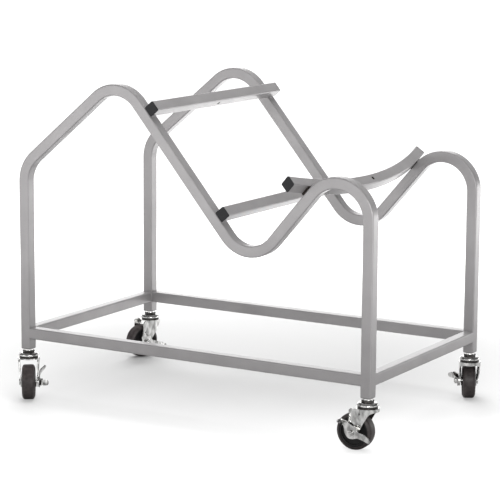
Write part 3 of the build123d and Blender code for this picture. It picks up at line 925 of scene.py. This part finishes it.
bm = bmesh.new()
bmesh.ops.create_grid(bm, x_segments=72, y_segments=8, size=1.0)
for v in bm.verts:
    v.co = lever_point(v.co.x, v.co.y)
lever_mesh = bm
for corner, stand in stands.items():
    turned_by = 0 if casters[corner][3] else lever_throw
    rock = axle @ Matrix.Rotation(turned_by, 4, "Y") @ axle.inverted()
    bm = lever_mesh.copy()
    bmesh.ops.transform(bm, verts=bm.verts[:], matrix=stand @ rock)
    piece = set_piece(
        bm, corner + "_lever", corner + "_brake", bright_zinc, [corner + "_brake_lever"]
    )
    sheet_metal(piece, lever_sheet, 0, lever_edge)
    bm = bmesh.new()
    turned(bm, boss_line, stand @ brake_side, 40)
    turned(bm, washer_line, stand @ brake_side, 40)
    set_piece(bm, corner + "_lever_boss", corner + "_brake", bright_zinc)
lever_mesh.free()

# Floor
# A plain pale floor, wide enough to fill the picture behind the trolley.
# Its glow is painted light, not a lamp. To the camera it shows a painted shadow pool under the trolley and
# behind its left end, and turns white further out.
# To other rays it glows only further out and in a patch behind the trolley, and this painted light shines in
# the undersides of the bars and the rising legs.
floor_half = 60
bm = bmesh.new()
bmesh.ops.create_grid(bm, x_segments=2, y_segments=2, size=floor_half)
floor_mesh = bpy.data.meshes.new("floor")
bm.to_mesh(floor_mesh)
bm.free()
floor = bpy.data.objects.new("floor", floor_mesh)
bpy.context.scene.collection.objects.link(floor)
floor_paint = bpy.data.materials.new("pale_floor")
floor_paint.use_nodes = True
nodes = floor_paint.node_tree.nodes
links = floor_paint.node_tree.links
pale = nodes["Principled BSDF"]
pale.inputs["Base Color"].default_value = (0.35, 0.35, 0.35, 1)
pale.inputs["Roughness"].default_value = 0.9
pale.inputs["Specular IOR Level"].default_value = 0.1
pale.inputs["Emission Color"].default_value = (1, 1, 1, 1)
place = nodes.new("ShaderNodeTexCoord")
reach = nodes.new("ShaderNodeVectorMath")
reach.operation = "LENGTH"
# Painted glow for other rays: none near the trolley, rising further out.
far_glow = nodes.new("ShaderNodeMapRange")
far_glow.interpolation_type = "SMOOTHSTEP"
far_glow.inputs["From Min"].default_value = 0.7
far_glow.inputs["From Max"].default_value = 2.2
far_glow.inputs["To Max"].default_value = 1.3
behind = nodes.new("ShaderNodeVectorMath")
behind.operation = "DISTANCE"
behind.inputs[1].default_value = (-0.1, 1.0, 0)
# Painted light: a bright patch of glow behind the trolley.
glow_behind = nodes.new("ShaderNodeMapRange")
glow_behind.interpolation_type = "SMOOTHSTEP"
glow_behind.inputs["From Min"].default_value = 0.25
glow_behind.inputs["From Max"].default_value = 0.8
glow_behind.inputs["To Min"].default_value = 1.05
glow_behind.inputs["To Max"].default_value = 0.0
lit = nodes.new("ShaderNodeMath")
# Painted shadow pool for the camera, centred behind the trolley towards its left end.
pool = nodes.new("ShaderNodeVectorMath")
pool.operation = "DISTANCE"
pool.inputs[1].default_value = (-0.27, 0.44, 0)
shown = nodes.new("ShaderNodeMapRange")
shown.interpolation_type = "SMOOTHSTEP"
shown.inputs["From Min"].default_value = 0.3
shown.inputs["From Max"].default_value = 1.5
shown.inputs["To Min"].default_value = 0.085
shown.inputs["To Max"].default_value = 1.0
path = nodes.new("ShaderNodeLightPath")
pick = nodes.new("ShaderNodeMix")
links.new(place.outputs["Object"], reach.inputs[0])
links.new(reach.outputs["Value"], far_glow.inputs["Value"])
links.new(place.outputs["Object"], behind.inputs[0])
links.new(behind.outputs["Value"], glow_behind.inputs["Value"])
links.new(far_glow.outputs["Result"], lit.inputs[0])
links.new(glow_behind.outputs["Result"], lit.inputs[1])
links.new(place.outputs["Object"], pool.inputs[0])
links.new(pool.outputs["Value"], shown.inputs["Value"])
links.new(path.outputs["Is Camera Ray"], pick.inputs["Factor"])
links.new(lit.outputs["Value"], pick.inputs["A"])
links.new(shown.outputs["Result"], pick.inputs["B"])
links.new(pick.outputs["Result"], pale.inputs["Emission Strength"])
floor_mesh.materials.append(floor_paint)

# Light
# Soft studio light: a white surround, a soft box overhead, one at the back left, and panels round the base.
# A lit backdrop shines in the level tops of the tubes, which are seen nearly edge on.
# Reflections see dark flags overhead and at both sides, which give the plating its dark edges.
world = bpy.data.worlds.new("studio")
bpy.context.scene.world = world
world.use_nodes = True
nodes = world.node_tree.nodes
links = world.node_tree.links
path = nodes.new("ShaderNodeLightPath")
level = nodes.new("ShaderNodeMapRange")
level.inputs["To Min"].default_value = 1.0
level.inputs["To Max"].default_value = 0.6
aim = nodes.new("ShaderNodeTexCoord")
split = nodes.new("ShaderNodeSeparateXYZ")
overhead = nodes.new("ShaderNodeValToRGB")
overhead.color_ramp.elements[0].position = 0.3
overhead.color_ramp.elements[0].color = (1, 1, 1, 1)
overhead.color_ramp.elements[1].position = 0.52
overhead.color_ramp.elements[1].color = (0.16, 0.16, 0.16, 1)
sideways = nodes.new("ShaderNodeVectorMath")
sideways.operation = "DOT_PRODUCT"
sideways.inputs[1].default_value = (0.861, 0.509, 0)
either = nodes.new("ShaderNodeMath")
either.operation = "ABSOLUTE"
flags = nodes.new("ShaderNodeValToRGB")
flags.color_ramp.elements[0].position = 0.62
flags.color_ramp.elements[0].color = (1, 1, 1, 1)
flags.color_ramp.elements[1].position = 0.78
flags.color_ramp.elements[1].color = (0.2, 0.2, 0.2, 1)
mirrored = nodes.new("ShaderNodeMath")
mirrored.operation = "MULTIPLY"
pick = nodes.new("ShaderNodeMix")
links.new(path.outputs["Is Diffuse Ray"], level.inputs["Value"])
links.new(aim.outputs["Generated"], split.inputs["Vector"])
links.new(split.outputs["Z"], overhead.inputs["Fac"])
links.new(aim.outputs["Generated"], sideways.inputs[0])
links.new(sideways.outputs["Value"], either.inputs[0])
links.new(either.outputs["Value"], flags.inputs["Fac"])
links.new(overhead.outputs["Color"], mirrored.inputs[0])
links.new(flags.outputs["Color"], mirrored.inputs[1])
links.new(path.outputs["Is Glossy Ray"], pick.inputs["Factor"])
links.new(level.outputs["Result"], pick.inputs["A"])
links.new(mirrored.outputs["Value"], pick.inputs["B"])
links.new(pick.outputs["Result"], nodes["Background"].inputs["Strength"])
nodes["Background"].inputs["Color"].default_value = (1, 1, 1, 1)
# Where each panel hangs, the point that it faces, its width and height in metres, and its power in watts.
panels = {
    "overhead_box": ((0, 0, 2.0), (0, 0, 0), 1.8, 1.2, 36.0),
    "back_left_box": ((-1.3, 1.7, 1.2), (0, 0, 0.55), 1.7, 1.4, 80.0),
    "backdrop_panel": ((-2.25, 3.75, 1.35), (0, 0, 0.45), 3.2, 1.8, 16.5),
    "back_right_panel": ((1.5, 2.2, 0.32), (0, 0, 0.32), 1.2, 0.6, 5.4),
    "front_right_panel": ((1.2, -1.3, 0.75), (0.44, -0.25, 0.7), 0.7, 0.5, 8.5),
    "front_left_panel": ((-0.75, -1.35, 0.5), (0, -0.1, 0.5), 0.8, 0.8, 1.9),
}
for name, (spot, target, wide, tall, power) in panels.items():
    lamp = bpy.data.lights.new(name, "AREA")
    lamp.shape = "RECTANGLE"
    lamp.size = wide
    lamp.size_y = tall
    lamp.energy = power
    panel = bpy.data.objects.new(name, lamp)
    panel.location = spot
    panel.rotation_euler = (Vector(target) - Vector(spot)).to_track_quat("-Z", "Y").to_euler()
    panel.visible_camera = False
    panel.visible_glossy = "box" not in name
    bpy.context.scene.collection.objects.link(panel)
bpy.context.scene.view_settings.view_transform = "Standard"

# Camera
# The photograph's viewpoint: from the front right, a little above the base, through a long lens.
# Its place, angles in radians and focal length in pixels were fitted to the edges of the tubes.
view_distance = 4.69346
view_azimuth = 0.534714
view_elevation = 0.215564
view_yaw = view_azimuth - 0.000157
view_pitch = -0.174618
view_roll = 0.006741
focal_pixels = 2050.8
picture_width = 500
sensor_width = 36
eye = Vector((0, 0, rail_z)) + view_distance * Vector((
    math.sin(view_azimuth) * math.cos(view_elevation),
    -math.cos(view_azimuth) * math.cos(view_elevation),
    math.sin(view_elevation),
))
lens = bpy.data.cameras.new("photo_view")
lens.sensor_width = sensor_width
lens.lens = sensor_width * focal_pixels / picture_width
camera = bpy.data.objects.new("photo_view", lens)
facing = Matrix.Rotation(view_yaw, 4, "Z") @ Matrix.Rotation(math.pi / 2 + view_pitch, 4, "X")
camera.matrix_world = Matrix.Translation(eye) @ facing @ Matrix.Rotation(view_roll, 4, "Z")
bpy.context.scene.collection.objects.link(camera)
bpy.context.scene.camera = camera
